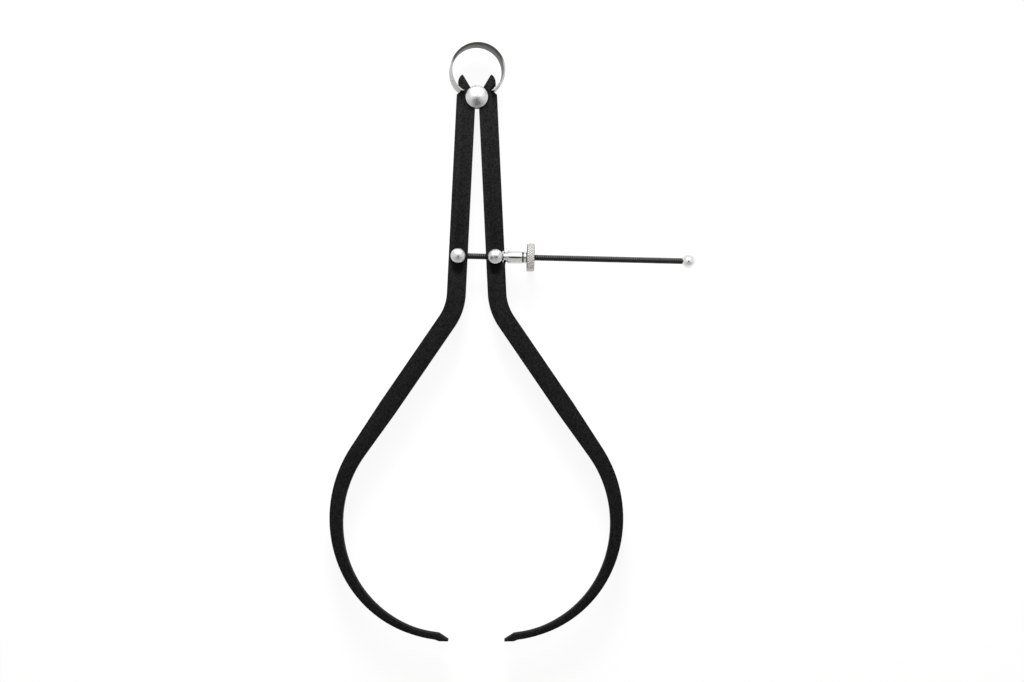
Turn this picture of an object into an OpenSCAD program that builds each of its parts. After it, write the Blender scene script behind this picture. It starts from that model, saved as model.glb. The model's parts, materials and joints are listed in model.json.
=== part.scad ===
// Outside spring caliper, 250 mm, with an adjusting screw and a solid knurled nut.
// It lies flat with its front up. The origin is on the fulcrum's axis, at the stud's rear face.
// +X is to the right, +Y is towards the bow spring and +Z is towards the front.

/* [Legs] */
// Width of the flat stock that a leg is cut from
leg_w = 8.6; // [8:0.05:10]
// Thickness of the legs
leg_t = 4.6; // [4.4:0.1:6]
// Half of the gap between the shanks at the fulcrum
leg_gap = 0.73; // [0.4:0.02:1.2]
// Lean of each shank from the centre line, in degrees
shank_lean = 2.77; // [2.5:0.01:4]
// Length of the straight shank, from the fulcrum down to its bend
shank_l = 90.5; // [80:0.1:110]
// Radius of the bend below the shank
bend_r = 25.1; // [15:0.1:35]
// Outward turn of that bend, in degrees
bend_turn = 31.6; // [25:0.1:36]
// Length of the slanted stretch at full width
slant_l = 48.4; // [35:0.1:60]
// Length of the slanted stretch that already tapers
slant_taper_l = 24.4; // [10:0.1:40]
// Centre line radius of the bow
bow_r = 56.4; // [48:0.1:64]
// Turn of the bow, in degrees
bow_turn = 57.35; // [55:0.05:70]
// Centre line radius of the hook that ends in the tip
hook_r = 51.8; // [44:0.1:58]
// Turn of the hook, in degrees
hook_turn = 59.8; // [50:0.1:62]
// Length over which a leg tapers
taper_l = 125; // [100:1:150]
// Width of a leg behind its tip
tip_w = 2.65; // [2.4:0.05:5]
// Length of the bevelled tip
tip_l = 6.4; // [4.5:0.1:7]
// How far the toe under the tip stands out of the leg's outer edge
toe_drop = 0.5; // [0.2:0.05:0.8]
// Length over which the toe stands out
toe_run = 2.2; // [0.8:0.1:3]
// Angle between the toe and the leg's end, in degrees
toe_turn = 6.5; // [0:0.5:10]
// Angle of the bevel on the tip's inner side, in degrees
tip_bevel = 32; // [30:1:50]
// Radius of the measuring point
tip_r = 0.25; // [0.2:0.05:0.7]

/* [Leg heads] */
// Height of the outer shoulder above the fulcrum
shoulder_y = 1.1; // [0.5:0.1:2]
// How far the shoulder's slope runs inward
shoulder_run = 1.85; // [1:0.05:2.5]
// Rise of the shoulder's slope
shoulder_rise = 1.5; // [0.8:0.05:2]
// Depth of the notch that holds the bow spring
notch_depth = 1.85; // [1.4:0.05:2.5]
// Length of the notch's upper flank
flank_l = 4.4; // [3.5:0.1:5]
// Angle of that flank above the horizontal, in degrees
flank_angle = 46.8; // [40:0.2:50]
// Radius of the rounded outer side of an ear
ear_r = 4.8; // [4:0.1:6]
// Angle that the rounded side covers, in degrees
ear_turn = 61; // [50:1:70]
// Angle of an ear's inner face from the centre line, in degrees
ear_face = 30.6; // [28:0.2:34]
// Distance of that face's line from the fulcrum's axis
ear_inset = 0.3; // [0.2:0.05:0.8]

/* [Fulcrum stud] */
// Diameter of the neck between the legs
neck_d = 6; // [4.5:0.1:7]
// Diameter of the domed front head
stud_head_d = 10.4; // [9:0.1:12]
// Thickness of the front head at its rim
stud_rim_t = 0.5; // [0.3:0.1:1]
// Height of the dome on the front head
stud_dome_h = 1.9; // [1:0.1:3]
// Diameter of the flat rear head
rear_head_d = 9; // [8:0.1:12]
// Thickness of the rear head
rear_head_t = 1.65; // [1:0.05:3]
// Bevel around the rear head
rear_bevel = 0.3; // [0.1:0.1:0.6]

/* [Bow spring] */
// Inner radius of the bow
bow_in_r = 11.72; // [10.5:0.01:13]
// Height of the bow's crown above the fulcrum
bow_top_y = 24.92; // [22:0.1:27]
// How far below its widest points the bow starts to curve in more tightly, in degrees
bow_side = 10; // [0:1:30]
// Thickness of the spring strip
strip_t = 0.98; // [0.6:0.01:1.2]
// Width of the spring strip
strip_w = 8; // [6:0.1:10]
// Distance of the bow's sharp ends from the notches' corners
bow_set = 0.45; // [0.2:0.05:0.8]
// Lean of the bow's front rim to the right, in degrees
bow_lean = 7; // [0:0.5:8]

/* [Posts] */
// Distance of the left post from the fulcrum, along the shank
left_post_at = 73.1; // [66:0.1:80]
// How much further down the right post sits
right_post_drop = 0.38; // [0:0.02:0.6]
// Diameter of the posts where they turn in the legs
post_d = 4.8; // [4.4:0.1:5.2]
// Diameter of the domed post heads
post_head_d = 6.9; // [6:0.1:8]
// Thickness of the post heads at their rims
post_rim_t = 0.4; // [0.2:0.1:1]
// Height of the domes on the post heads
post_dome_h = 1.7; // [1:0.1:2.5]
// How far the posts stand out behind the legs
post_rear = 0.4; // [0.1:0.1:1]
// Bevel around the posts' rear ends
post_bevel = 0.3; // [0.1:0.05:0.35]

/* [Screw] */
// Outer diameter of the screw thread
screw_d = 2.8; // [2.4:0.1:3]
// Pitch of the thread
pitch = 1; // [0.5:0.1:1.5]
// Depth of the thread
thread_depth = 0.3; // [0.1:0.05:0.4]
// Length of the screw from the left post's axis to the end ball
screw_l = 103.4; // [60:0.1:130]
// How far the screw reaches past the left post's axis
screw_root_l = 1.9; // [1.5:0.1:2]
// Diameter of the pin that locks the screw in its post
pin_d = 1.2; // [0.8:0.1:1.4]
// Diameter of the spigot that holds the end ball
spigot_d = 2; // [1.5:0.1:2.2]
// Length of that spigot
spigot_l = 4.4; // [3:0.1:5]
// Diameter of the end ball
ball_d = 6.3; // [5.5:0.1:8]
// Length of the end ball over its two flats
ball_l = 5.75; // [5.2:0.05:5.8]

/* [Sleeve and nut] */
// Diameter of the sleeve's nose
nose_d = 4.92; // [4.6:0.02:5.4]
// Length of the nose
nose_l = 1.97; // [1.5:0.01:3]
// How far the nose reaches into the right leg's seat
nose_in = 0.55; // [0.4:0.01:1]
// Diameter of the sleeve's barrel
barrel_d = 6.14; // [5.6:0.02:8]
// Length of the barrel
barrel_l = 6.58; // [4:0.01:10]
// Diameter of the step between the barrel and the washer
step_d = 5.1; // [4.6:0.1:5.6]
// Length of that step
step_l = 0.78; // [0.4:0.01:1.5]
// Diameter of the thrust washer
washer_d = 5.8; // [5.2:0.1:7]
// Thickness of the thrust washer
washer_t = 1.1; // [0.6:0.05:2]
// Small bevels on the barrel and the washer
turned_bevel = 0.15; // [0.05:0.05:0.25]
// Diameter of the nut's boss
boss_d = 4.8; // [4.2:0.1:5.4]
// Height of the nut's boss
boss_l = 0.19; // [0.1:0.01:0.6]
// Diameter of the knurled nut
nut_d = 13.06; // [11:0.02:15]
// Width of the nut
nut_w = 3.6; // [3:0.1:6]
// Bevel on the nut's rims
nut_bevel = 0.5; // [0.2:0.05:0.8]

/* [Fits and travel] */
// Running clearance of a pivot, on the radius and at each shoulder
run_fit = 0.05; // [0.02:0.01:0.1]
// Play around the screw in the right post, the sleeve and the nut
screw_play = 0.35; // [0.3:0.01:0.4]
// Clearance of a fixed fit, on the radius
fixed_fit = 0.02; // [0.01:0.01:0.05]
// Clearance of the bow spring over its notches
seat_fit = 0.08; // [0.05:0.01:0.15]
// Free depth behind the nose in the right leg's seat
seat_gap = 0.42; // [0.35:0.01:0.6]
// Free height of the seat below the nose
seat_room = 0.35; // [0.3:0.05:1]
// Clearance around the path of the nose as it swings out of the seat
swing_fit = 0.08; // [0.05:0.01:0.1]
// How far the sleeve moves out of the seat for each degree that a leg opens
slide_out = 0.106; // [0.1:0.001:0.12]
// Share of a leg's turn that the screw's own slope takes up
droop_share = 0.043; // [0.03:0.001:0.05]
// Outward turn of each leg from this pose to fully open, in degrees
open_turn = 27; // [20:0.5:28]
// Inward turn of each leg from this pose to closed, in degrees
close_turn = 2.75; // [1:0.01:2.8]
// Spare angle at both ends of the screw slots, in degrees
slot_spare = 1.5; // [1:0.1:3]

/* [Hidden] */
$fn = 96;
arc_step = 3;
past = 1;

// Heights: the legs' middle plane carries the screw
mid_z = rear_head_t + run_fit + leg_t / 2;
front_z = mid_z + leg_t / 2;
rear_z = mid_z - leg_t / 2;

// A leg's centre line starts level with the fulcrum, leg_gap clear of the other leg
top_x = leg_gap + leg_w / 2 / cos(shank_lean);
function along(heading) = [sin(heading), -cos(heading)];
function across(heading) = [cos(heading), sin(heading)];
function on_shank(s) = [top_x, 0] + s * along(shank_lean);

// Stations along the centre line, each [place, heading, distance]. A move is [run, radius, turn].
function stations(p, h, s, moves, i = 0) =
    i == len(moves) ? [] :
    let (
        run = moves[i][0], r = moves[i][1], turn = moves[i][2],
        side = turn < 0 ? -1 : 1,
        bend_from = p + run * along(h),
        centre = bend_from + side * r * across(h),
        steps = ceil(abs(turn) / arc_step),
        arc_l = r * abs(turn) * PI / 180,
        bend_to = centre - side * r * across(h + turn)
    )
    concat(
        run > 0 ? [[bend_from, h, s + run]] : [],
        [for (k = [1 : 1 : steps]) let (t = h + turn * k / steps)
            [centre - side * r * across(t), t, s + run + arc_l * k / steps]],
        stations(bend_to, h + turn, s + run + arc_l, moves, i + 1)
    );

shoulder_s = (leg_w / 2 * sin(shank_lean) - shoulder_y) / cos(shank_lean);
taper_from = shank_l + bend_r * bend_turn * PI / 180 + slant_l;
function width_at(s) = leg_w + (tip_w - leg_w) * min(1, max(0, (s - taper_from) / taper_l));
leg_line = concat(
    [[on_shank(shoulder_s), shank_lean, shoulder_s]],
    stations([top_x, 0], shank_lean, 0, [
        [shank_l, bend_r, bend_turn],
        [slant_l, 0, 0],
        [slant_taper_l, bow_r, -bow_turn],
        [0, hook_r, -hook_turn]])
);
function edge(side) = [for (st = leg_line) st[0] + side * width_at(st[2]) / 2 * across(st[1])];
outer_edge = edge(1);
inner_edge = edge(-1);

// The tip: the outer edge drops to a toe, rounds the point and comes back along a bevel
leg_end_h = leg_line[len(leg_line) - 1][1];
tip_h = leg_end_h - toe_turn;
toe = outer_edge[len(outer_edge) - 1] + toe_run * along(leg_end_h) + toe_drop * across(leg_end_h);
tip_c = toe - tip_r * across(tip_h) + (tip_l - toe_run - tip_r) * along(tip_h);
function tip_round(a) = tip_c + tip_r * (cos(a) * across(tip_h) + sin(a) * along(tip_h));
bevel_run = (tip_w + toe_drop - tip_r * (1 + cos(tip_bevel))) / sin(tip_bevel);
bevel_end = tip_round(180 - tip_bevel)
    - bevel_run * (cos(tip_bevel) * along(tip_h) + sin(tip_bevel) * across(tip_h));
tip_outline = concat([toe],
    [for (k = [0 : 1 : 6]) tip_round(k / 6 * (180 - tip_bevel))], [bevel_end]);
behind_tip = [for (i = [len(inner_edge) - 2 : -1 : 1])
    if (norm(leg_line[i][0] - tip_c) > norm(bevel_end - tip_c) + past) inner_edge[i]];
inner_top = on_shank(0) - leg_w / 2 * across(shank_lean);

// The head: shoulder, notch for the bow spring, ear, and the ear's straight inner face
shoulder = outer_edge[0];
lip = shoulder + [-shoulder_run, shoulder_rise];
notch = lip - [notch_depth, 0];
ear_foot = notch + flank_l * [cos(flank_angle), sin(flank_angle)];
ear_start = -9;
ear_c = ear_foot - ear_r * [cos(ear_start), sin(ear_start)];
ear_side = [for (a = [ear_start : ear_turn / 8 : ear_start + ear_turn])
    ear_c + ear_r * [cos(a), sin(a)]];
ear_tip = ear_side[len(ear_side) - 1];
face_dir = [sin(ear_face), cos(ear_face)];
face_foot = ear_inset * [cos(ear_face), -sin(ear_face)];
face_top = face_foot + (ear_tip[1] - ear_r / 12 - face_foot[1]) / face_dir[1] * face_dir;

leg_outline = concat(outer_edge, tip_outline, behind_tip, [inner_top, face_foot, face_top],
    [for (i = [len(ear_side) - 1 : -1 : 0]) ear_side[i]], [notch, lip]);

// The bow spring is round over the top, with a tighter arc on each side, and its sharp ends
// land just outside the notches' corners
bow_end_y = notch[1] + seat_fit;
bow_c = [0, bow_top_y - strip_t - bow_in_r];
bow_side_dir = [cos(bow_side), -sin(bow_side)];
bow_span = [notch[0] + bow_set, bow_end_y] - bow_c;
bow_tuck = (pow(bow_in_r, 2) - bow_span * bow_span) / (2 * (bow_in_r - bow_span * bow_side_dir));
tuck_c = bow_c + bow_tuck * bow_side_dir;
tuck_r = bow_in_r - bow_tuck;
side_steps = 18;
crown_steps = 34;
function bow_edge(out) =
    let (end_turn = asin((tuck_c[1] - bow_end_y) / (tuck_r + out)))
    concat(
        [for (k = [0 : 1 : side_steps]) let (a = -end_turn + k / side_steps * (end_turn - bow_side))
            tuck_c + (tuck_r + out) * [cos(a), sin(a)]],
        [for (k = [1 : 1 : crown_steps]) let (a = -bow_side + k / crown_steps * (90 + bow_side))
            bow_c + (bow_in_r + out) * [cos(a), sin(a)]]);
function turned_back(points) = [for (i = [len(points) - 2 : -1 : 0]) points[i]];
function other_side(points) = [for (p = points) [-p[0], p[1]]];
bow_outline = concat(
    bow_edge(0), turned_back(other_side(bow_edge(0))),
    other_side(bow_edge(strip_t)), turned_back(bow_edge(strip_t)));

// The posts stand on the shanks' centre lines, and the screw's axis joins them
right_post_at = left_post_at + right_post_drop / cos(shank_lean);
left_post_xy = [-on_shank(left_post_at)[0], on_shank(left_post_at)[1]];
right_post_xy = on_shank(right_post_at);
post_gap = right_post_xy - left_post_xy;
screw_angle = atan2(post_gap[1], post_gap[0]);
screw_hole_r = screw_d / 2 + screw_play;
slot_l = leg_w;

// Places along the screw's axis, counted from the right post
nose_at = leg_w / 2 - nose_in;
seat_at = nose_at - seat_gap;
barrel_at = nose_at + nose_l;
step_at = barrel_at + barrel_l;
washer_at = step_at + step_l;
boss_at = washer_at + washer_t + run_fit;
nut_at = boss_at + boss_l;

module domed_head(d, rim_t, dome_h) {
    dome_r = (pow(d / 2, 2) + pow(dome_h, 2)) / (2 * dome_h);
    cylinder(d = d, h = rim_t);
    translate([0, 0, rim_t]) intersection() {
        translate([0, 0, dome_h - dome_r]) sphere(r = dome_r);
        cylinder(d = d, h = dome_h);
    }
}

// A turned piece along +X, from a profile of [place, radius] corners
module turned(profile) {
    rotate([0, 90, 0]) rotate_extrude()
        polygon([for (p = profile) [p[1], p[0]]]);
}

module bevelled(from, to, r, bevel) {
    turned([[from, 0], [from, r - bevel], [from + bevel, r], [to - bevel, r], [to, r - bevel], [to, 0]]);
}

module at_screw(xy) {
    translate([xy[0], xy[1], mid_z]) rotate([0, 0, screw_angle]) children();
}

// A wedge through a leg's edge in which the screw swings, around a post's axis
module swing_slot(middle, rest) {
    from = rest - close_turn - slot_spare;
    to = rest + open_turn + slot_spare;
    low = middle - to;
    high = middle - from;
    translate([0, 0, mid_z - screw_hole_r]) linear_extrude(height = 2 * screw_hole_r)
        polygon([
            screw_hole_r * [sin(low), -cos(low)],
            screw_hole_r * [sin(low), -cos(low)] + slot_l * [cos(low), sin(low)],
            screw_hole_r * [-sin(high), cos(high)] + slot_l * [cos(high), sin(high)],
            screw_hole_r * [-sin(high), cos(high)]]);
}

// The round path of the sleeve's nose through the right leg's edge, one step at a time
module nose_path() {
    step = 5;
    for (turn = [step : step : 4 * step])
        translate([0, 0, mid_z]) rotate([0, 0, screw_angle - shank_lean - (1 - droop_share) * turn])
            translate([nose_at + slide_out * turn - 3 * swing_fit, 0, 0]) rotate([0, 90, 0])
                cylinder(r = nose_d / 2 + swing_fit, h = leg_w);
}

// A right-hand leg: flat stock with its seat on the fulcrum's neck and its post's hole
module leg_blank(post_xy) {
    difference() {
        translate([0, 0, rear_z]) linear_extrude(height = leg_t) polygon(leg_outline);
        translate([0, 0, rear_z - past]) cylinder(d = neck_d + 2 * run_fit, h = leg_t + 2 * past);
        translate([post_xy[0], post_xy[1], rear_z - past])
            cylinder(d = post_d + 2 * run_fit, h = leg_t + 2 * past);
    }
}

module left_leg() {
    post_xy = [-left_post_xy[0], left_post_xy[1]];
    color("#26272a") mirror([1, 0, 0]) difference() {
        leg_blank(post_xy);
        translate([post_xy[0], post_xy[1], 0]) rotate([0, 0, shank_lean])
            swing_slot(180, shank_lean + screw_angle);
    }
}

module right_leg() {
    color("#26272a") difference() {
        leg_blank(right_post_xy);
        translate([right_post_xy[0], right_post_xy[1], 0]) rotate([0, 0, shank_lean]) {
            swing_slot(180, shank_lean - screw_angle);
            swing_slot(0, shank_lean - screw_angle);
            nose_path();
            translate([seat_at, -nose_d / 2 - seat_room, rear_z - past])
                cube([leg_w, nose_d + seat_room + seat_fit, leg_t + 2 * past]);
        }
    }
}

module bow_spring() {
    color("#a9a8a4") translate([0, 0, mid_z])
        multmatrix([[1, 0, tan(bow_lean), 0], [0, 1, 0, 0], [0, 0, 1, 0]])
            translate([0, 0, -strip_w / 2]) linear_extrude(height = strip_w) polygon(bow_outline);
}

module fulcrum_stud() {
    color("#c9c9c6") {
        cylinder(d1 = rear_head_d - 2 * rear_bevel, d2 = rear_head_d, h = rear_bevel);
        translate([0, 0, rear_bevel]) cylinder(d = rear_head_d, h = rear_head_t - rear_bevel);
        cylinder(d = neck_d, h = front_z + 2 * run_fit);
        translate([0, 0, front_z + run_fit]) domed_head(stud_head_d, stud_rim_t, stud_dome_h);
    }
}

module post_blank() {
    tail_z = rear_z - post_rear;
    shaft_l = front_z + 2 * run_fit - tail_z - post_bevel;
    translate([0, 0, tail_z]) cylinder(d1 = post_d - 2 * post_bevel, d2 = post_d, h = post_bevel);
    translate([0, 0, tail_z + post_bevel]) cylinder(d = post_d, h = shaft_l);
    translate([0, 0, front_z + run_fit]) domed_head(post_head_d, post_rim_t, post_dome_h);
}

module left_post() {
    color("#c4c4c1") difference() {
        translate([left_post_xy[0], left_post_xy[1], 0]) post_blank();
        at_screw(left_post_xy) translate([-screw_root_l - fixed_fit, 0, 0])
            rotate([0, 90, 0]) cylinder(d = screw_d + 2 * fixed_fit, h = post_d);
        translate([left_post_xy[0], left_post_xy[1], rear_z - post_rear - past])
            cylinder(d = pin_d + 2 * fixed_fit, h = mid_z + screw_d / 2 + past - rear_z + post_rear + fixed_fit);
    }
}

module right_post() {
    color("#c4c4c1") difference() {
        translate([right_post_xy[0], right_post_xy[1], 0]) post_blank();
        at_screw(right_post_xy) translate([-post_d, 0, 0])
            rotate([0, 90, 0]) cylinder(r = screw_hole_r, h = 2 * post_d);
    }
}

// The thread is a row of grooves, one pitch apart, between the left post and the ball
module adjusting_screw() {
    thread_from = post_d / 2;
    turns = floor((screw_l - thread_from) / pitch);
    crest_r = screw_d / 2;
    grooves = [for (i = [0 : 1 : turns - 1]) let (x = thread_from + i * pitch)
        each [[x + pitch * 0.1, crest_r], [x + pitch / 2, crest_r - thread_depth],
            [x + pitch * 0.9, crest_r]]];
    color("#1d1d1f") difference() {
        at_screw(left_post_xy) turned(concat(
            [[-screw_root_l, 0], [-screw_root_l, crest_r]], grooves,
            [[screw_l, crest_r], [screw_l, spigot_d / 2],
            [screw_l + spigot_l, spigot_d / 2], [screw_l + spigot_l, 0]]));
        translate([left_post_xy[0], left_post_xy[1], mid_z - screw_d])
            cylinder(d = pin_d + 2 * fixed_fit, h = 2 * screw_d);
    }
}

module screw_pin() {
    color("#8f8f8c") translate([left_post_xy[0], left_post_xy[1], rear_z - post_rear])
        cylinder(d = pin_d, h = post_rear + leg_t / 2 + screw_d / 2);
}

module thrust_sleeve() {
    color("#d2d2cf") at_screw(right_post_xy) difference() {
        union() {
            turned([[nose_at, 0], [nose_at, nose_d / 2], [barrel_at, nose_d / 2], [barrel_at, 0]]);
            bevelled(barrel_at, step_at, barrel_d / 2, turned_bevel);
            turned([[step_at - step_l, 0], [step_at - step_l, step_d / 2],
                [washer_at, step_d / 2], [washer_at, 0]]);
        }
        rotate([0, 90, 0]) cylinder(r = screw_hole_r, h = washer_at + past);
    }
}

module thrust_washer() {
    color("#dcdcd8") at_screw(right_post_xy) difference() {
        bevelled(washer_at, washer_at + washer_t, washer_d / 2, turned_bevel);
        rotate([0, 90, 0]) cylinder(r = screw_hole_r, h = washer_at + washer_t + past);
    }
}

module knurled_nut() {
    color("#a3a3a0") at_screw(right_post_xy) difference() {
        union() {
            turned([[boss_at, 0], [boss_at, boss_d / 2], [nut_at + boss_l, boss_d / 2], [nut_at + boss_l, 0]]);
            bevelled(nut_at, nut_at + nut_w, nut_d / 2, nut_bevel);
        }
        rotate([0, 90, 0]) cylinder(r = screw_hole_r, h = nut_at + nut_w + past);
    }
}

module end_ball() {
    color("#cfcfcc") at_screw(left_post_xy) difference() {
        translate([screw_l + ball_l / 2, 0, 0]) intersection() {
            sphere(d = ball_d);
            cube([ball_l, ball_d, ball_d], center = true);
        }
        translate([screw_l - past, 0, 0]) rotate([0, 90, 0])
            cylinder(d = spigot_d + 2 * fixed_fit, h = spigot_l + fixed_fit + past);
    }
}

left_leg();
right_leg();
bow_spring();
fulcrum_stud();
left_post();
right_post();
adjusting_screw();
screw_pin();
thrust_sleeve();
thrust_washer();
knurled_nut();
end_ball();
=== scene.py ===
"""Outside spring caliper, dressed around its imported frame: blackened legs, a flat bow spring,
turned heads, a cut thread and a knurled nut, on a pale table under soft light."""

import json
import math

import bmesh
import bpy
import numpy as np
from mathutils import Matrix, Vector


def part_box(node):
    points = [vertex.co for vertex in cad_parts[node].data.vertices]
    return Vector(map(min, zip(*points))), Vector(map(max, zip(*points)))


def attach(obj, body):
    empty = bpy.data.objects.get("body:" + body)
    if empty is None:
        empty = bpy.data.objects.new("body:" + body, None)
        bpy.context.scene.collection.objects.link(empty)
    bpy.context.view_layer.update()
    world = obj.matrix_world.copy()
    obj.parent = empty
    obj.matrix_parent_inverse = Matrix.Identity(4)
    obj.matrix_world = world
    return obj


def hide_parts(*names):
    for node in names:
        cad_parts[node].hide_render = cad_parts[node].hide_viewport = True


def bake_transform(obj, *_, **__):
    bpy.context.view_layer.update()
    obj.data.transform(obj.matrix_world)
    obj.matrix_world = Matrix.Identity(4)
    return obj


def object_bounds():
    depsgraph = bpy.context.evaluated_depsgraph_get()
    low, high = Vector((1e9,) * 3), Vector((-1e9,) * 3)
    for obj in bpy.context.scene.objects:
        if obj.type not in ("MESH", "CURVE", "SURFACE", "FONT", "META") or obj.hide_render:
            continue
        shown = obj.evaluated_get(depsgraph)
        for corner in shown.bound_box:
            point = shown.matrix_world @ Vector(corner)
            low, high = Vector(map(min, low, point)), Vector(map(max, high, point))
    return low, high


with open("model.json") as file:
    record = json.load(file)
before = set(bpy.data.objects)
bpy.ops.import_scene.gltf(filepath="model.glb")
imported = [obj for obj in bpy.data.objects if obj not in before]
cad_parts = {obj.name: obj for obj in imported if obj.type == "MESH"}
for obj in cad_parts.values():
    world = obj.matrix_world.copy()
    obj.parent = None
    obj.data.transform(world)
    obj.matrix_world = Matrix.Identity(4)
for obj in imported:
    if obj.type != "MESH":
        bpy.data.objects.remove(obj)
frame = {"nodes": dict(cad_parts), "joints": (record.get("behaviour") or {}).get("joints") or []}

MM = 0.001
CAD_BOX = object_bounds()

# Places that the frame gives
JOINTS = {joint["name"]: joint for joint in frame["joints"]}
LEFT_POST = Vector(JOINTS["left_post_swivel"]["pos_m"])
RIGHT_POST = Vector(JOINTS["right_post_swivel"]["pos_m"])
SCREW_WAY = Vector(JOINTS["nut_spin"]["axis"]).normalized()
MID_Z = LEFT_POST.z
LEG_FRONT_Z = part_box("left_leg")[1].z
SPRING_LOW, SPRING_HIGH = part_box("bow_spring")

# Sizes of the turned pieces, in millimetres, as in the part's source
SCREW_D, PITCH, THREAD_DEPTH = 2.8, 1.0, 0.2
POST_D, POST_HEAD_D, POST_RIM, POST_DOME = 4.8, 6.9, 0.4, 1.7
STUD_HEAD_D, STUD_RIM, STUD_DOME = 10.4, 0.5, 1.9
NECK_D, REAR_HEAD_D, REAR_HEAD_T = 6.0, 9.0, 1.65
SCREW_ROOT, SCREW_L, SPIGOT_D, SPIGOT_L = 1.9, 103.4, 2.0, 4.4
NOSE_D, NOSE_AT, NOSE_L = 4.92, 3.75, 1.97
BARREL_D, BARREL_L, STEP_D, STEP_L = 6.14, 6.58, 5.1, 0.78
WASHER_D, WASHER_T, BOSS_D, BOSS_L = 5.8, 1.1, 4.8, 0.19
NUT_D, NUT_W, NUT_BEVEL = 13.06, 3.6, 0.5
BALL_D, BALL_L = 6.3, 5.75
SCREW_PLAY, FIXED_FIT, RUN_FIT = 0.35, 0.02, 0.05
KNURL_COUNT, KNURL_SLANT, KNURL_DEPTH = 34.0, 0.72, 0.22
THREAD_FLANK, KNURL_FLANK = 2.3, 1.9    # how steep the grooves' sides are: 1 leaves no flat between

# The bow's strip, in millimetres and degrees: CROWN_SIDE is how far the crown's arc runs past its sides
STRIP_T, STRIP_EDGE, CROWN_R, STRIP_END_X = 0.98, 0.13, 11.72, 6.037
CROWN_SIDE, BOW_LEAN = 10, 7
CROWN_STEPS, SIDE_STEPS = 64, 32

# Where the pieces on the screw start, counted from the right post
BARREL_AT = NOSE_AT + NOSE_L
STEP_AT = BARREL_AT + BARREL_L
WASHER_AT = STEP_AT + STEP_L
BOSS_AT = WASHER_AT + WASHER_T + RUN_FIT

UPWARDS = Vector((0, 0, 1))
# A dark colour for painted shade in recesses: the sleeve's groove and the nut's boss.
RECESS_SHADE = (0.05, 0.048, 0.043, 1)


# ---- graphs: shader and geometry nodes written as expressions ----

class Field:
    """A socket whose arithmetic adds Math nodes to its graph."""

    def __init__(self, graph, socket):
        self.graph, self.socket = graph, socket

    def maths(self, operation, *others):
        values = dict(enumerate((self, *others)))
        return self.graph.node("ShaderNodeMath", {"operation": operation}, values)

    def __add__(self, other):
        return self.maths("ADD", other)

    __radd__ = __add__

    def __mul__(self, other):
        return self.maths("MULTIPLY", other)

    __rmul__ = __mul__

    def __sub__(self, other):
        return self.maths("SUBTRACT", other)

    def __rsub__(self, other):
        return (self * -1).maths("ADD", other)

    def __truediv__(self, other):
        return self.maths("DIVIDE", other)

    def __abs__(self):
        return self.maths("ABSOLUTE")


class Graph:
    """A node tree. node() adds any node, with its settings first and then its sockets."""

    def __init__(self, tree):
        self.tree = tree

    def node(self, kind, settings=None, inputs=None, out=0):
        """Adds a node and gives one of its outputs, or the node itself where it has none."""
        made = self.tree.nodes.new(kind)
        for name, value in (settings or {}).items():
            setattr(made, name, value)
        for name, value in (inputs or {}).items():
            if isinstance(value, Field):
                self.tree.links.new(value.socket, made.inputs[name])
            else:
                made.inputs[name].default_value = value
        return Field(self, made.outputs[out]) if made.outputs else made

    def between(self, share, low, high):
        """A colour between two, by a share from 0 to 1."""
        return self.node("ShaderNodeMix", {"data_type": "RGBA"}, {0: share, 6: low, 7: high}, 2)

    def stepped(self, value, start, end):
        """0 below start, 1 above end, and smooth between."""
        return self.node("ShaderNodeMapRange", {"interpolation_type": "SMOOTHSTEP"},
                         {"Value": value, "From Min": start, "From Max": end})

    def noise(self, vector, scale, detail=3.0, roughness=0.55):
        return self.node("ShaderNodeTexNoise", {},
                         {"Vector": vector, "Scale": scale, "Detail": detail, "Roughness": roughness})

    def parts(self, vector):
        """The three numbers of a vector."""
        split = self.node("ShaderNodeSeparateXYZ", {}, {0: vector})
        return [Field(self, socket) for socket in split.socket.node.outputs]

    def stretched(self, vector, scale):
        return self.node("ShaderNodeMapping", {}, {"Vector": vector, "Scale": scale})

    def joined(self, *numbers):
        """A vector from up to three numbers."""
        return self.node("ShaderNodeCombineXYZ", {}, dict(enumerate(numbers)))

    def length(self, a, b):
        return (a * a + b * b).maths("SQRT")


# ---- finishes ----

def grey(tone):
    return (tone, tone, tone, 1)


class Finish(Graph):
    """One material. Its patterns are in millimetres."""

    def __init__(self, name):
        self.material = bpy.data.materials.new(name)
        self.material.use_nodes = True
        self.material.node_tree.nodes.clear()
        super().__init__(self.material.node_tree)

    def place(self):
        """Where a point of the piece is, in millimetres."""
        spot = self.node("ShaderNodeTexCoord", {}, {}, 3)
        return self.stretched(spot, (1 / MM,) * 3)

    def facing(self):
        """Which way a point of the piece faces, as three numbers."""
        return self.parts(self.node("ShaderNodeTexCoord", {}, {}, 1))

    def own(self, name):
        """A vector that the piece carries at each point."""
        return self.node("ShaderNodeAttribute", {"attribute_name": name}, {}, 1)

    def turned(self):
        """The place in the lathe of a turned piece: its vector, its three numbers (along the axis
        first) and the distance from the axis."""
        lathe = self.own("lathe")
        along, one, other = self.parts(lathe)
        return lathe, along, one, other, self.length(one, other)

    def done(self, tone, rough, metallic, height, relief, **steady):
        """Joins colour, roughness and relief (in millimetres) to the surface."""
        bump = self.node("ShaderNodeBump", {}, {"Height": height, "Distance": relief * MM, "Strength": 1.0})
        shader = self.node("ShaderNodeBsdfPrincipled", {}, {
            "Base Color": tone, "Roughness": rough, "Metallic": metallic, "Normal": bump, **steady})
        self.node("ShaderNodeOutputMaterial", {}, {"Surface": shader})
        return self.material


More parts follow.
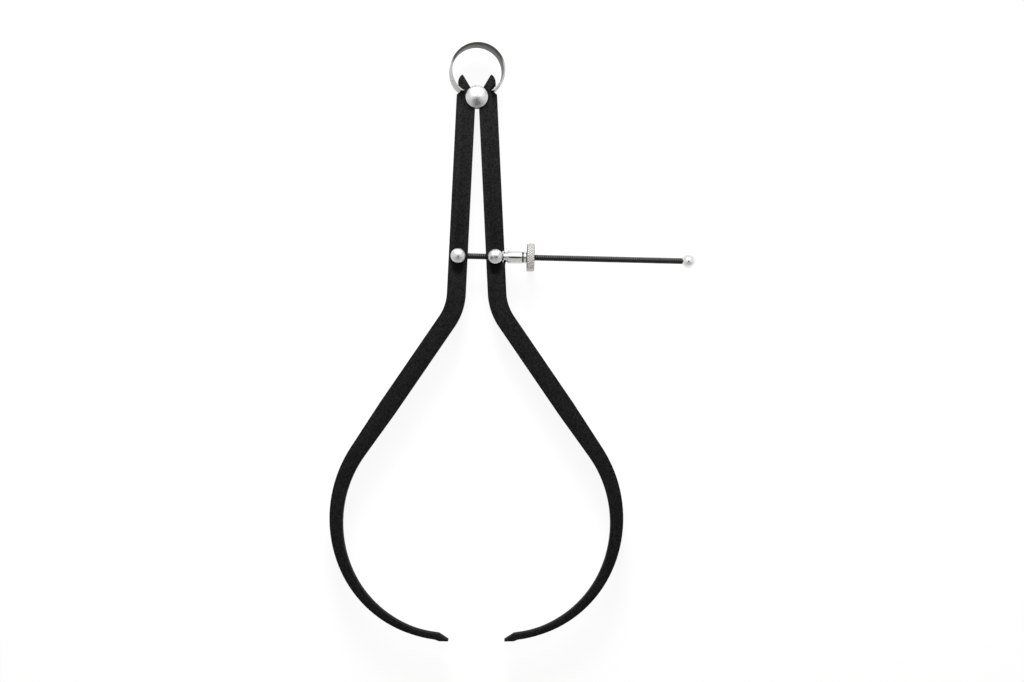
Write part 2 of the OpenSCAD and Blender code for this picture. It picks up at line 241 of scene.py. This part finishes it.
def blackened_leg():
    """Black oxide over ground flat steel: a fine matt tooth, worn specks, painted shade on the faces
    that don't face up, and a painted shadow below each post."""
    f = Finish("blackened_leg")
    place = f.place()
    upright = abs(f.facing()[2])
    mottle = f.noise(place, 0.3, 4)
    grain = f.stepped(f.noise(place, 1.15, 5, 0.8), 0.34, 0.66)
    specks = f.stepped(f.noise(place, 1.6, 3, 0.7), 0.56, 0.7)
    tone = f.between(0.3 * mottle + 0.7 * grain,
                     (0.001, 0.001, 0.0014, 1), (0.0285, 0.028, 0.0292, 1))
    tone = f.between(specks * grain, tone, (0.045, 0.0435, 0.0425, 1))
    # Painted shade: faces that don't point up, the leg's sides and broken edges, are coloured nearly black.
    tone = f.between(1 - f.stepped(upright, 0.6, 0.97), tone, (0.003, 0.003, 0.0034, 1))
    x, y, _ = f.parts(place)
    # Painted shadow: a soft, nearly black patch on the leg below each post's head, where the head's shadow
    # falls.
    for spot in (LEFT_POST, RIGHT_POST):
        aside, below = x - spot.x / MM, (y - spot.y / MM + 4.6) * 0.8
        away = f.length(aside, below) + 2.0 * (mottle - 0.5)
        tone = f.between((1 - f.stepped(away, 1.6, 4.0)) * 0.9, tone, (0.0006, 0.0006, 0.0008, 1))
    rough = 0.46 + 0.12 * mottle + 0.12 * grain
    return f.done(tone, rough, 0.0, grain + 0.5 * mottle, 0.03, **{"Specular IOR Level": 0.04})


def spring_strip():
    """Flat spring steel, ground along the strip: light outside, with painted shade making the
    inner side and the crown dark."""
    f = Finish("spring_strip")
    strip = f.own("strip")
    along, across, _ = f.parts(strip)
    scratches = f.noise(f.stretched(strip, (0.12, 6.0, 9.0)), 1.0, 3, 0.6)
    patches = f.noise(f.stretched(strip, (0.25, 1.0, 0.35)), 1.0, 3)
    # Painted shade: the strip's inner side and its crown are coloured dark and made less metallic.
    inside = (1 - f.stepped(across, 0.1, 0.24)) * (1 - f.stepped(along, 25.5, 28.5))
    crown = 1 - f.stepped(along, 12.0, 17.0)
    light = f.between(scratches * 0.6 + patches * 0.4,
                      (0.3, 0.3, 0.295, 1), (0.52, 0.52, 0.51, 1))
    dark = f.between(scratches * 0.5 + patches * 0.5,
                     (0.022, 0.02, 0.0175, 1), (0.066, 0.061, 0.054, 1))
    painted_shade = inside.maths("MAXIMUM", crown * 0.97)
    return f.done(f.between(painted_shade, light, dark), 0.3 + 0.16 * scratches, 0.85 - 0.6 * painted_shade,
                  scratches, 0.012, **{"Specular IOR Level": 0.15})


def turned_head(name, head_d, tone_low, tone_high, ring_pitch, ring_relief, rough_base, dark_patches):
    """A domed head from the lathe: faint rings, radial wear, a painted highlight towards the bow and
    the lights, dark patches of painted shade and reflection, and painted shade on the wall and neck.

    Each dark patch is (across, up, size, strength), from the head's centre and in millimetres."""
    f = Finish(name)
    lathe, along, up, left, radius = f.turned()
    reach = radius.maths("MAXIMUM", 0.05)
    drift = f.noise(lathe, 0.7, 2)
    rings = (radius * (2 * math.pi / ring_pitch) + 3 * drift).maths("SINE")
    grain = f.noise(lathe, 5, 3, 0.6)
    rays = f.noise(f.joined(radius * 0.5, up / reach * 4.0, left / reach * 4.0), 1.0, 3, 0.7)
    streaks = f.noise(f.joined(radius * 4.0, along * 4.0), 1.0, 3, 0.7)
    tone = f.between(0.35 * rays + 0.3 * streaks + 0.3 * grain + 0.08 * rings,
                     grey(tone_low), grey(tone_high))
    # Painted highlight: the dome's upper side, towards the bow and the lights, is coloured nearly white.
    tone = f.between(f.stepped(up, 0.16 * head_d, 0.4 * head_d) * 0.95, tone, grey(1.0))
    # Painted shade and reflections: each dark patch darkens the dome's colour around a given spot.
    for across, above, size, strength in dark_patches:
        sideways, rise = left + across, up - above
        away = f.length(sideways, rise) + (rays + grain - 1) * (1.6 * size)
        tone = f.between((1 - f.stepped(away, 0.1 * size, 1.2 * size)) * strength, tone,
                         (0.07, 0.069, 0.066, 1))
    # Painted shade: the head's outer wall and its lower end are coloured dark.
    wall = f.stepped(radius, head_d / 2 - 0.1, head_d / 2 - 0.02)
    rear = 1 - f.stepped(along, 1.7, 2.1)
    tone = f.between(wall.maths("MAXIMUM", rear) * 0.85, tone, (0.05, 0.05, 0.048, 1))
    rough = rough_base + 0.12 * streaks + 0.06 * grain
    return f.done(tone, rough, 1.0, 0.5 * rings + 0.5 * streaks + 0.5 * rays + 0.2 * grain, ring_relief)


def bright_turned():
    """Bright nickel on turned steel: nearly a mirror, with faint tool marks and painted shade in the
    groove between the barrel and the washer."""
    f = Finish("bright_turned")
    lathe, along, left, up, radius = f.turned()
    marks = f.noise(f.joined(along * 9.0, left * 0.15, up * 0.15), 1.0, 3, 0.7)
    smear = f.noise(lathe, 0.9, 3)
    # Painted shade: the groove between the barrel and the washer is coloured dark.
    groove = f.stepped(along, STEP_AT - 0.1, STEP_AT + 0.05)
    groove = groove * (1 - f.stepped(along, WASHER_AT - 0.05, WASHER_AT + 0.08))
    groove = groove * (1 - f.stepped(radius, STEP_D / 2 + 0.1, STEP_D / 2 + 0.45))
    tone = f.between(marks * 0.5 + smear * 0.5, (0.68, 0.68, 0.67, 1), (0.86, 0.86, 0.85, 1))
    tone = f.between(groove * 0.9, tone, RECESS_SHADE)
    return f.done(tone, 0.05 + 0.06 * marks + 0.03 * smear, 1.0, marks, 0.003)


def knurled_steel():
    """The nut: plated steel, bright on the knurl's points, dull in its grooves, with painted shade on its
    boss.
    """
    f = Finish("knurled_steel")
    lathe, _, _, _, radius = f.turned()
    grain = f.noise(lathe, 4, 3, 0.75)
    pits = f.stepped(f.noise(lathe, 1.25, 2, 0.6), 0.4, 0.6)
    depth = f.stepped(radius, NUT_D / 2 - KNURL_DEPTH, NUT_D / 2 - 0.02)
    rim = f.stepped(radius, NUT_D / 2 - 0.55, NUT_D / 2 - 0.45)
    worn = 1 - rim * (1 - depth)
    tone = f.between(worn * (0.36 + 0.72 * pits + 0.4 * grain),
                     (0.27, 0.264, 0.254, 1), (0.86, 0.85, 0.832, 1))
    # Painted shade: the boss in the gap between the washer and the nut's face is coloured dark.
    tone = f.between(1 - f.stepped(radius, BOSS_D / 2, BOSS_D / 2 + 0.3), tone, RECESS_SHADE)
    rough = 0.18 + 0.16 * grain + 0.08 * pits
    rings = (radius * (2 * math.pi / 0.22)).maths("SINE")
    return f.done(tone, rough, 1.0, grain + 0.35 * rings * (1 - rim), 0.02)


def blackened_screw():
    """Black oxide on the screw, worn lighter on the crests of the thread, with a painted highlight
    that keeps most of that lightness on the side facing the bow and the lights."""
    f = Finish("blackened_screw")
    lathe, _, _, _, radius = f.turned()
    # Painted highlight: the crests' lighter colour is kept mostly on the side that faces the lights.
    lit_side = 0.15 + 0.85 * f.stepped(f.facing()[1], -0.25, 0.35)
    crest = f.stepped(radius, SCREW_D / 2 - 0.07, SCREW_D / 2 - 0.01) * lit_side
    grain = f.noise(lathe, 2.5, 3)
    tone = f.between(crest * (0.2 + 0.9 * grain),
                     (0.0022, 0.0022, 0.0026, 1), (0.12, 0.117, 0.112, 1))
    return f.done(tone, 0.26 + 0.2 * grain, 0.0, grain, 0.01, **{"Specular IOR Level": 0.3})


def plain_pin():
    """The cut end of the small pin at the back of the left post."""
    f = Finish("plain_pin")
    place = f.place()
    cut = f.noise(f.stretched(place, (9, 1, 1)), 1.0, 3)
    tone = f.between(cut, grey(0.3), grey(0.5))
    return f.done(tone, 0.3 + 0.2 * cut, 1.0, cut, 0.01)


BLACKENED_LEG = blackened_leg()
SPRING_STRIP = spring_strip()
# The dark patches are painted: shade on the lower part of the stud's dome, and dark reflections on the
# posts' heads.
STUD_HEAD = turned_head("turned_stud", STUD_HEAD_D, 0.5, 0.9, 0.62, 0.014, 0.24,
                        [(0.2, -3.3, 2.8, 0.72)])
LEFT_HEAD = turned_head("turned_left_post", POST_HEAD_D, 0.5, 0.85, 0.5, 0.016, 0.2,
                        [(0.2, -1.4, 1.2, 0.3)])
RIGHT_HEAD = turned_head("turned_right_post", POST_HEAD_D, 0.5, 0.85, 0.55, 0.016, 0.16,
                         [(-1.7, -0.7, 1.0, 0.8), (0.8, -0.4, 0.8, 0.75)])
BRIGHT_TURNED = bright_turned()
KNURLED_STEEL = knurled_steel()
BLACKENED_SCREW = blackened_screw()
PLAIN_PIN = plain_pin()


# ---- meshes ----

def piece(name, mesh, material, sharp=35):
    """An object at the origin with one material, smooth except across sharp edges."""
    mesh.name = name
    mesh.materials.clear()
    mesh.materials.append(material)
    mesh.shade_smooth()
    mesh.set_sharp_from_angle(angle=math.radians(sharp))
    made = bpy.data.objects.new(name, mesh)
    bpy.context.scene.collection.objects.link(made)
    return made


def evaluated(made):
    """The object's mesh with its modifiers applied, and the modifiers gone."""
    bpy.context.view_layer.update()
    seen = made.evaluated_get(bpy.context.evaluated_depsgraph_get())
    mesh = bpy.data.meshes.new_from_object(seen)
    made.modifiers.clear()
    made.data = mesh
    return made


def rounded(corners, steps=4):
    """A profile of (along, radius, fillet) corners, each fillet drawn as a few points."""
    path = []
    for i, (x, r, fillet) in enumerate(corners):
        here = np.array((x, r))
        if not fillet or i in (0, len(corners) - 1):
            path.append(here)
            continue
        back = np.array(corners[i - 1][:2]) - here
        on = np.array(corners[i + 1][:2]) - here
        start = here + back * min(0.45, fillet / np.linalg.norm(back))
        end = here + on * min(0.45, fillet / np.linalg.norm(on))
        for t in np.linspace(0, 1, steps + 1):
            path.append((1 - t) ** 2 * start + 2 * t * (1 - t) * here + t ** 2 * end)
    return path


def lathe(path, around=96, bored=False):
    """A closed mesh turned about X from a profile in millimetres, in its own frame.

    The profile starts and ends on the axis, or closes on itself when the piece is bored."""
    mesh = bpy.data.meshes.new("turned")
    bm = bmesh.new()
    rings = []
    for x, r in path:
        if r < 1e-6:
            rings.append([bm.verts.new((x, 0, 0))] * around)
        else:
            rings.append([bm.verts.new((x, r * math.cos(a), r * math.sin(a)))
                          for a in np.linspace(0, 2 * math.pi, around, endpoint=False)])
    if bored:
        rings.append(rings[0])
    for low, high in zip(rings, rings[1:]):
        for i in range(around):
            j = (i + 1) % around
            corners = [low[i], low[j], high[j], high[i]]
            bm.faces.new([v for k, v in enumerate(corners) if v not in corners[:k]])
    bmesh.ops.recalc_face_normals(bm, faces=bm.faces)
    bm.to_mesh(mesh)
    bm.free()
    return mesh


def lathe_place(origin, way):
    """From the lathe, in millimetres along X, to a place along a direction."""
    turn = Vector((1, 0, 0)).rotation_difference(way).to_matrix().to_4x4()
    return Matrix.Translation(origin) @ turn @ Matrix.Scale(MM, 4)


def placed(mesh, origin, way):
    """Moves a mesh from its lathe to its place."""
    mesh.transform(lathe_place(origin, way))
    return mesh


def keep_lathe(mesh, origin, way):
    """Stores where each point of a placed mesh is in the lathe, in millimetres, for its finish."""
    spots = np.empty(len(mesh.vertices) * 3, np.float32)
    mesh.vertices.foreach_get("co", spots)
    back = np.array(lathe_place(origin, way).inverted())
    spots = spots.reshape(-1, 3) @ back[:3, :3].T + back[:3, 3]
    if "lathe" in mesh.attributes:
        mesh.attributes.remove(mesh.attributes["lathe"])
    store = mesh.attributes.new("lathe", "FLOAT_VECTOR", "POINT")
    store.data.foreach_set("vector", spots.astype(np.float32).ravel())


def dome(from_x, d, rim, height, steps=14):
    """A domed head's profile, from its flat seat to the top of the dome on the axis."""
    radius = ((d / 2) ** 2 + height ** 2) / (2 * height)
    centre = from_x + rim + height - radius
    widest = math.asin(d / 2 / radius)
    corners = [(from_x, d / 2 - 0.12), (from_x + 0.04, d / 2 - 0.03), (from_x + 0.12, d / 2)]
    curve = [(centre + radius * math.cos(a), radius * math.sin(a))
             for a in widest * np.array([1, 0.99, 0.97, *np.linspace(1, 0, steps + 1)[1:]])]
    softened = [(from_x + rim - 0.1, d / 2), (from_x + rim - 0.02, d / 2 - 0.02)]
    return [np.array(p) for p in corners + softened + curve[1:]]


# ---- legs ----

def leg_bar(node, body, bevel=0.2):
    """The leg's bar with its sharp edges broken, in black oxide."""
    mesh = frame["nodes"][node].data.copy()
    bm = bmesh.new()
    bm.from_mesh(mesh)
    bmesh.ops.remove_doubles(bm, verts=bm.verts, dist=0.002 * MM)
    bmesh.ops.dissolve_limit(bm, angle_limit=math.radians(0.4), verts=bm.verts, edges=bm.edges)
    bm.to_mesh(mesh)
    bm.free()
    made = piece(node + "_bar", mesh, BLACKENED_LEG)
    broken = made.modifiers.new("broken_edges", "BEVEL")
    broken.width, broken.segments, broken.limit_method = bevel * MM, 3, "ANGLE"
    broken.angle_limit = math.radians(40)
    broken.use_clamp_overlap = False
    evaluated(made)
    made.data.set_sharp_from_angle(angle=math.radians(35))
    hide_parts(node)
    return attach(made, body)


# ---- bow spring ----

def bow_route(end_y):
    """The strip's inner edge: a round crown, then a tighter side down to the notch. Gives the two
    arcs as (centre x, centre y, radius, first angle), with angles counted from the crown's top."""
    crown_y = SPRING_HIGH.y / MM - STRIP_T - CROWN_R
    side = math.radians(90 + CROWN_SIDE)
    way = np.array((math.sin(side), math.cos(side)))
    span = np.array((STRIP_END_X, end_y - crown_y))
    tuck = (CROWN_R ** 2 - span @ span) / (2 * (CROWN_R - span @ way))
    x, y = tuck * way + (0, crown_y)
    return (0, crown_y, CROWN_R, 0), (x, y, CROWN_R - tuck, side)


def spring_half(side, leg_body):
    """Half of the bow, from its crown to the sharp end in the leg's notch."""
    half_w, half_t = (SPRING_HIGH.z - SPRING_LOW.z) / MM / 2, STRIP_T / 2
    end_y = SPRING_LOW.y / MM
    crown, tight = bow_route(end_y)
    section = []
    for cx, cz, start in ((1, 1, 0), (-1, 1, 90), (-1, -1, 180), (1, -1, 270)):
        for a in np.radians(np.linspace(start, start + 90, 5)):
            section.append((half_t + cx * (half_t - STRIP_EDGE) + STRIP_EDGE * math.cos(a),
                            cz * (half_w - STRIP_EDGE) + STRIP_EDGE * math.sin(a)))
    bm = bmesh.new()
    spots, rings = [], []
    side_y, side_r, side_from = tight[1:]
    for k in range(CROWN_STEPS + SIDE_STEPS + 1):
        ring = []
        for depth, height in section:
            if k < CROWN_STEPS:
                x, y, r, _ = crown
                a = k / CROWN_STEPS * side_from
            else:
                x, y, r, _ = tight
                last = math.acos((end_y - side_y) / (side_r + depth))
                a = side_from + (last - side_from) * (k - CROWN_STEPS) / SIDE_STEPS
            run = CROWN_R * min(a, side_from) + side_r * max(a - side_from, 0)
            spots.append((run, depth, height))
            leaning = height * math.tan(math.radians(BOW_LEAN))
            ring.append(bm.verts.new(((side * (x + (r + depth) * math.sin(a)) + leaning) * MM,
                                      (y + (r + depth) * math.cos(a)) * MM, MID_Z + height * MM)))
        rings.append(ring)
    count = len(section)
    for low, high in zip(rings, rings[1:]):
        for i in range(count):
            bm.faces.new((low[i], low[(i + 1) % count], high[(i + 1) % count], high[i]))
    bm.faces.new(rings[0])
    bm.faces.new(rings[-1])
    bmesh.ops.recalc_face_normals(bm, faces=bm.faces)
    mesh = bpy.data.meshes.new("strip")
    bm.to_mesh(mesh)
    bm.free()
    store = mesh.attributes.new("strip", "FLOAT_VECTOR", "POINT")
    store.data.foreach_set("vector", np.array(spots, np.float32).ravel())
    made = piece(("left" if side < 0 else "right") + "_half_bow", mesh, SPRING_STRIP)
    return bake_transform(made, "frame", leg_body, start=(0, (crown[1] + 0.55 * CROWN_R) * MM, MID_Z),
                    end=(0, (end_y + 1) * MM, MID_Z))


# ---- turned pieces ----

def fulcrum():
    """The stud: a rear head, a neck and a domed front head in one piece."""
    neck_top = MID_Z * 2 / MM - REAR_HEAD_T
    back = rounded([(0, 0, 0), (0, REAR_HEAD_D / 2, 0.35), (REAR_HEAD_T, REAR_HEAD_D / 2, 0.12),
                    (REAR_HEAD_T, NECK_D / 2, 0), (neck_top, NECK_D / 2, 0)])
    mesh = lathe(back + dome(neck_top, STUD_HEAD_D, STUD_RIM, STUD_DOME))
    foot = Vector((0, 0, 0))
    made = piece("fulcrum_spool", placed(mesh, foot, UPWARDS), STUD_HEAD)
    keep_lathe(made.data, foot, UPWARDS)
    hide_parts("fulcrum_stud")
    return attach(made, "frame")


def post(name, node, body, spot, hole_r, hole_from, finish):
    """A post with its domed head, cross-drilled for the screw."""
    low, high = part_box(node)
    length = (high.z - low.z) / MM
    seat = length - POST_RIM - POST_DOME
    shaft = rounded([(0, 0, 0), (0, POST_D / 2, 0.3), (seat, POST_D / 2, 0)])
    mesh = lathe(shaft + dome(seat, POST_HEAD_D, POST_RIM, POST_DOME))
    foot = Vector((spot.x, spot.y, low.z))
    made = piece(name, placed(mesh, foot, UPWARDS), finish)
    drill = lathe([(hole_from, 0), (hole_from, hole_r), (POST_D, hole_r), (POST_D, 0)], 48)
    cutter = bpy.data.objects.new("cutter", placed(drill, spot, SCREW_WAY))
    bpy.context.scene.collection.objects.link(cutter)
    cut = made.modifiers.new("cross_hole", "BOOLEAN")
    cut.object, cut.operation, cut.solver = cutter, "DIFFERENCE", "EXACT"
    evaluated(made)
    bpy.data.objects.remove(cutter)
    keep_lathe(made.data, foot, UPWARDS)
    made.data.set_sharp_from_angle(angle=math.radians(35))
    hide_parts(node)
    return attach(made, body)


def on_screw(name, path, origin, material, node, body, around=96, bored=True, grown=None):
    """A piece turned about the screw's axis. grown is a geometry tree that cuts its surface, with
    the tree's sizes."""
    made = piece(name, lathe(path, around, bored), material)
    if grown:
        tree, sizes = grown
        cut = made.modifiers.new(tree.name, "NODES")
        cut.node_group = tree
        for item in tree.interface.items_tree:
            if item.in_out == "INPUT" and item.name in sizes:
                cut[item.identifier] = sizes[item.name]
        evaluated(made)
        made.data.set_sharp_from_angle(angle=math.radians(50))
    keep_lathe(placed(made.data, origin, SCREW_WAY), origin, SCREW_WAY)
    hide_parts(node)
    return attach(made, body)


def surface_tree(name, sizes, material, depth_of):
    """A geometry tree that presses a round surface inwards by the depth that depth_of gives."""
    tree = bpy.data.node_groups.new(name, "GeometryNodeTree")
    tree.interface.new_socket("Geometry", in_out="OUTPUT", socket_type="NodeSocketGeometry")
    tree.interface.new_socket("Geometry", in_out="INPUT", socket_type="NodeSocketGeometry")
    for size in sizes:
        tree.interface.new_socket(size, in_out="INPUT", socket_type="NodeSocketFloat")
    g = Graph(tree)
    given = tree.nodes.new("NodeGroupInput").outputs
    named = {size: Field(g, given[size]) for size in sizes}
    spot = g.node("GeometryNodeInputPosition")
    x, y, z = g.parts(spot)
    radius = g.length(y, z)
    turn = z.maths("ARCTAN2", y) / (2 * math.pi)
    depth = depth_of(g, x, radius, turn, named)
    push = depth / radius.maths("MAXIMUM", 0.001) * -1
    moved = g.node("GeometryNodeSetPosition", {}, {
        "Geometry": Field(g, given["Geometry"]), "Offset": g.joined(0.0, y * push, z * push)})
    real = g.node("GeometryNodeRealizeInstances", {}, {0: moved})
    dressed = g.node("GeometryNodeSetMaterial", {}, {"Geometry": real, "Material": material})
    g.node("NodeGroupOutput", {}, {0: dressed})
    return tree


def thread_depth(g, x, radius, turn, sizes):
    """A right-hand V groove between flat crests, on the crest's surface only."""
    phase = (x / sizes["Pitch"] - turn).maths("FRACT")
    groove = 1 - abs(2 * phase - 1) * THREAD_FLANK
    inside = radius.maths("GREATER_THAN", sizes["Crest radius"] * 0.98)
    run = g.stepped(x, sizes["From"], sizes["From"] + 0.6)
    return sizes["Depth"] * groove.maths("MAXIMUM", 0.0) * inside * run


def knurl_depth(g, x, radius, turn, sizes):
    """Two crossing families of slanted grooves that leave small diamonds on the rim."""
    def family(slant):
        phase = (turn * sizes["Count"] + x * sizes["Slant"] * slant).maths("FRACT")
        return 1 - abs(2 * phase - 1) * KNURL_FLANK

    groove = family(1).maths("MAXIMUM", family(-1)).maths("MAXIMUM", 0.0)
    inside = radius.maths("GREATER_THAN", sizes["Rim radius"] * 0.995)
    return sizes["Depth"] * groove * inside


def adjusting_screw():
    """The rod with its cut thread, and the spigot that the ball sits on."""
    crest, chamfer, rings_per_turn = SCREW_D / 2, 0.15, 12
    stations = np.arange(-SCREW_ROOT + chamfer, SCREW_L, PITCH / rings_per_turn)
    path = [(-SCREW_ROOT, 0), (-SCREW_ROOT, crest - chamfer)] + [(x, crest) for x in stations]
    end = SCREW_L + SPIGOT_L
    path += [(SCREW_L, crest), (SCREW_L, SPIGOT_D / 2), (end, SPIGOT_D / 2), (end, 0)]
    sizes = {"Pitch": PITCH, "Depth": THREAD_DEPTH, "Crest radius": crest, "From": POST_D / 2 - 0.5}
    tree = surface_tree("cut_thread", list(sizes), BLACKENED_SCREW, thread_depth)
    return on_screw("threaded_rod", path, LEFT_POST, BLACKENED_SCREW, "adjusting_screw",
                    "screw_body", 24, False, (tree, sizes))


def thrust_sleeve():
    """The sleeve, with its nose, barrel and narrow step, and the washer on its end."""
    bore = SCREW_D / 2 + SCREW_PLAY
    path = rounded([(NOSE_AT, bore, 0.0), (NOSE_AT, NOSE_D / 2, 0.12), (BARREL_AT, NOSE_D / 2, 0.05),
                    (BARREL_AT, BARREL_D / 2, 0.22), (STEP_AT, BARREL_D / 2, 0.22),
                    (STEP_AT, STEP_D / 2, 0.05), (WASHER_AT, STEP_D / 2, 0.0), (WASHER_AT, bore, 0.0)])
    on_screw("thrust_barrel", path, RIGHT_POST, BRIGHT_TURNED, "thrust_sleeve", "sleeve_body")
    washer_end = WASHER_AT + WASHER_T
    ring = rounded([(WASHER_AT, bore, 0.0), (WASHER_AT, WASHER_D / 2, 0.2),
                    (washer_end, WASHER_D / 2, 0.2), (washer_end, bore, 0.0)])
    on_screw("thrust_ring", ring, RIGHT_POST, BRIGHT_TURNED, "thrust_washer", "sleeve_body")


def knurled_nut():
    """The nut: a small boss, a disc with bevelled edges and a knurled rim, and a countersunk bore."""
    bore = SCREW_D / 2 + SCREW_PLAY
    face = BOSS_AT + BOSS_L
    back = face + NUT_W
    rim, bevel = NUT_D / 2, NUT_BEVEL
    near, far = face + bevel, back - bevel
    path = rounded([(BOSS_AT, bore, 0.0), (BOSS_AT, BOSS_D / 2, 0.08), (face, BOSS_D / 2, 0.05),
                    (face, rim - bevel, 0.1)])
    path += [(x, rim - bevel + (x - face)) for x in np.linspace(face + 0.15, near, 4)]
    path += [(x, rim) for x in np.linspace(near, far, 26)[1:-1]]
    path += [(x, rim - (x - far)) for x in np.linspace(far, back - 0.15, 4)]
    path += [(back, rim - bevel - 0.1), (back, bore + 0.5), (back - 0.35, bore)]
    sizes = {"Count": KNURL_COUNT, "Slant": KNURL_SLANT, "Depth": KNURL_DEPTH, "Rim radius": rim}
    tree = surface_tree("knurl", list(sizes), KNURLED_STEEL, knurl_depth)
    return on_screw("knurled_disc", path, RIGHT_POST, KNURLED_STEEL, "knurled_nut", "nut_body",
                    520, True, (tree, sizes))


def end_ball():
    """The ball with two flats, drilled for the spigot."""
    hole, r, half = SPIGOT_D / 2 + FIXED_FIT, BALL_D / 2, BALL_L / 2
    flat = math.sqrt(r * r - half * half)
    first = math.asin(half / r)
    bottom = SPIGOT_L + FIXED_FIT
    path = [(bottom, 0), (bottom, hole), (0, hole), (0, flat - 0.1)]
    path += [(half + r * math.sin(a), r * math.cos(a)) for a in np.linspace(-first, first, 33)]
    path += [(BALL_L, flat - 0.1), (BALL_L, 0)]
    return on_screw("stop_ball", path, LEFT_POST + SCREW_WAY * SCREW_L * MM, BRIGHT_TURNED,
                    "end_ball", "screw_body", 64, False)


leg_bar("left_leg", "left_leg_body")
leg_bar("right_leg", "right_leg_body")
halves = [spring_half(-1, "left_leg_body"), spring_half(1, "right_leg_body")]
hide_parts("bow_spring")
fulcrum()
post("left_dome_post", "left_post", "screw_body", LEFT_POST,
     SCREW_D / 2 + FIXED_FIT, -SCREW_ROOT - FIXED_FIT, LEFT_HEAD)
post("right_dome_post", "right_post", "right_post_body", RIGHT_POST,
     SCREW_D / 2 + SCREW_PLAY, -POST_D, RIGHT_HEAD)
adjusting_screw()
thrust_sleeve()
knurled_nut()
end_ball()
pin = frame["nodes"]["screw_pin"]
pin.data.materials.clear()
pin.data.materials.append(PLAIN_PIN)


# ---- studio ----

def looking(graph):
    """1 for a ray from the camera, off gloss or through glass and 0 for soft light, then the share
    of the rays off gloss alone."""
    rays = graph.node("ShaderNodeLightPath").socket.node.outputs
    gloss = Field(graph, rays["Is Glossy Ray"])
    seen = Field(graph, rays["Is Camera Ray"]) + gloss + Field(graph, rays["Is Transmission Ray"])
    return seen.maths("MINIMUM", 1.0), gloss


def table():
    """A pale table just under the nut. It shows white and keeps the caliper's soft shadow."""
    drop = CAD_BOX[0][2] - 0.2 * MM
    mesh = bpy.data.meshes.new("table")
    reach = 3
    corners = ((-reach, -reach), (reach, -reach), (reach, reach), (-reach, reach))
    mesh.from_pydata([(x, y, drop) for x, y in corners], [], [(0, 1, 2, 3)])
    made = bpy.data.objects.new("table", mesh)
    bpy.context.scene.collection.objects.link(made)
    f = Finish("table_white")
    shown, _ = looking(f)
    matt = f.node("ShaderNodeBsdfDiffuse", {}, {"Color": grey(0.2)})
    glow = f.node("ShaderNodeEmission", {}, {"Color": grey(1.0), "Strength": shown * 0.9})
    both = f.node("ShaderNodeAddShader", {}, {0: matt, 1: glow})
    f.node("ShaderNodeOutputMaterial", {}, {"Surface": both})
    mesh.materials.append(f.material)


def backdrop():
    """White all round for the eye and faint soft light for everything else. Gloss sees a white
    studio that is dimmer in front, with the dark camera overhead."""
    world = bpy.data.worlds.new("studio")
    bpy.context.scene.world = world
    world.use_nodes = True
    world.node_tree.nodes.clear()
    w = Graph(world.node_tree)
    shown, gloss = looking(w)
    across, up_way, height = w.parts(w.node("ShaderNodeTexCoord"))

    def patch(tilt, turn, inner, outer):
        """A soft round patch: its tilt from overhead and its turn from the front, in degrees."""
        t, a = math.radians(tilt), math.radians(turn)
        aim = (math.sin(t) * math.sin(a), -math.sin(t) * math.cos(a), math.cos(t))
        off = 1 - (across * aim[0] + up_way * aim[1] + height * aim[2])
        near, far = (1 - math.cos(math.radians(edge)) for edge in (inner, outer))
        return 1 - w.stepped(off, near, far)

    front = w.stepped(up_way * -1, 0.08, 0.4) * w.stepped(height, 0.05, 0.5)
    level = (1 - 0.1 * (1 - w.stepped(height, 0.0, 0.4))) * (1 - 0.4 * front)
    level = level * (1 - 0.97 * patch(6.5, 0, 12.5, 15.5))
    level = 1 - gloss * (1 - level)
    strength = shown * level + (1 - shown) * 0.12
    light = w.node("ShaderNodeBackground", {}, {"Color": grey(1.0), "Strength": strength})
    w.node("ShaderNodeOutputWorld", {}, {"Surface": light})


def softbox(name, spot, aim, size, power, in_gloss=True):
    """A rectangle of light. in_gloss says whether shiny pieces mirror it."""
    lamp = bpy.data.lights.new(name, "AREA")
    lamp.shape, lamp.energy = "RECTANGLE", power
    lamp.size, lamp.size_y = size
    made = bpy.data.objects.new(name, lamp)
    made.location, made.visible_glossy = spot, in_gloss
    made.rotation_euler = (Vector(aim) - Vector(spot)).to_track_quat("-Z", "Y").to_euler()
    bpy.context.scene.collection.objects.link(made)


def camera():
    """Straight above the caliper, framed as in the photograph."""
    image_w, mm_per_px, height = 1024, 0.46, 560.0
    centre, roll = (16.3, -112.3), 0.07
    lens = bpy.data.cameras.new("overhead")
    lens.sensor_width = 36
    lens.lens = 36 * (height - LEG_FRONT_Z / MM) / (image_w * mm_per_px)
    made = bpy.data.objects.new("overhead", lens)
    made.location = (centre[0] * MM, centre[1] * MM, height * MM)
    made.rotation_euler = (0, 0, math.radians(roll))
    bpy.context.scene.collection.objects.link(made)
    bpy.context.scene.camera = made


table()
backdrop()
softbox("high_softbox", (0.0, 0.40, 0.55), (0, -0.05, 0), (0.9, 0.5), 2.2)
softbox("low_softbox", (-0.03, 0.46, 0.19), (0, -0.08, 0), (0.26, 0.2), 5.6, in_gloss=False)
camera()
bpy.context.scene.view_settings.view_transform = "Standard"
